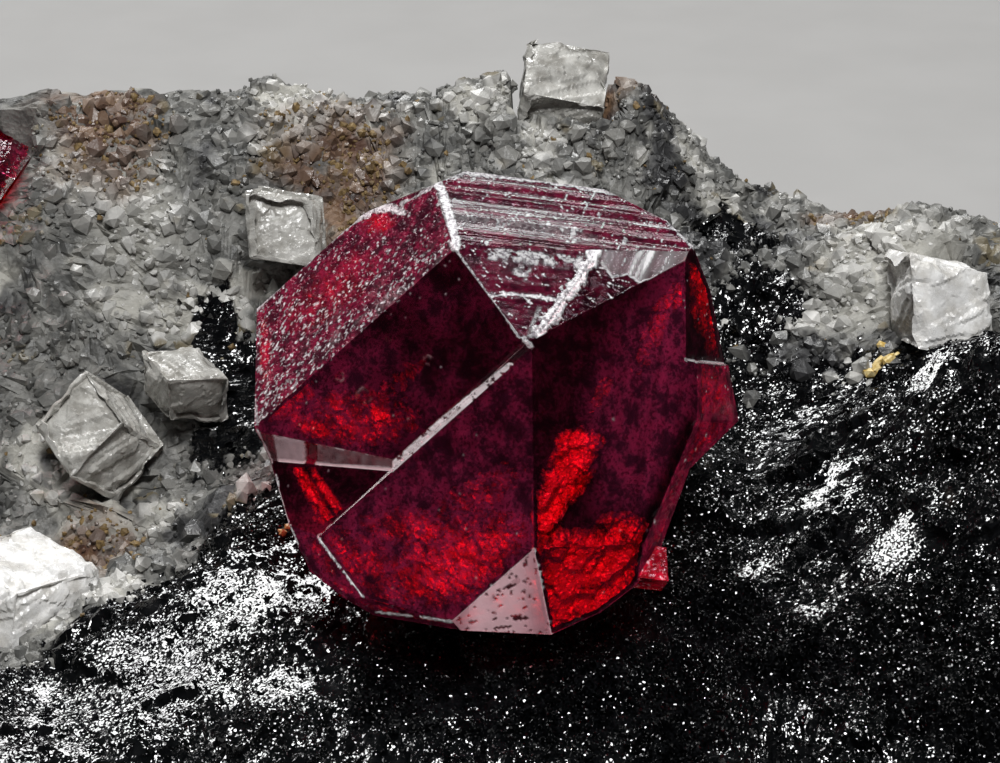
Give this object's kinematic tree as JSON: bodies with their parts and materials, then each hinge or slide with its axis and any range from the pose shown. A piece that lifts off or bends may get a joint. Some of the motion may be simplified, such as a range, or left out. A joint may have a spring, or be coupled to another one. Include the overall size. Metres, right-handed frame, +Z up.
{
  "type": "cinnabar crystal in matrix",
  "caption": "Deep red see-through cinnabar crystal seated in a rough piece of dark ore rock with pale calcite crystals around it; rests on its flat underside.",
  "frame": {"origin": "middle of the rock's flat underside, seen from above the middle of its box", "axes": "+Z up, +X along the rock's length, and the large crystal faces -Y, tilted back"},
  "size_m": [0.038, 0.029, 0.0169],
  "materials": {
    "ore_rock": "broken black ore with small shining grains, with pale grey granular gangue behind",
    "cinnabar": "see-through deep red crystal with bright, striated and rough faces",
    "calcite": "milky white to cream cleavage crystals, slightly translucent"
  },
  "bodies": {
    "root": {"matrix": "ore_rock", "cinnabar_crystal": "cinnabar", "rear_cinnabar_crystal": "cinnabar", "calcite_left_rear": "calcite", "calcite_rear_rim": "calcite", "calcite_left_valley": "calcite", "calcite_left_slope": "calcite", "calcite_left_front": "calcite", "calcite_right_saddle": "calcite"}
  },
  "joints": []
}
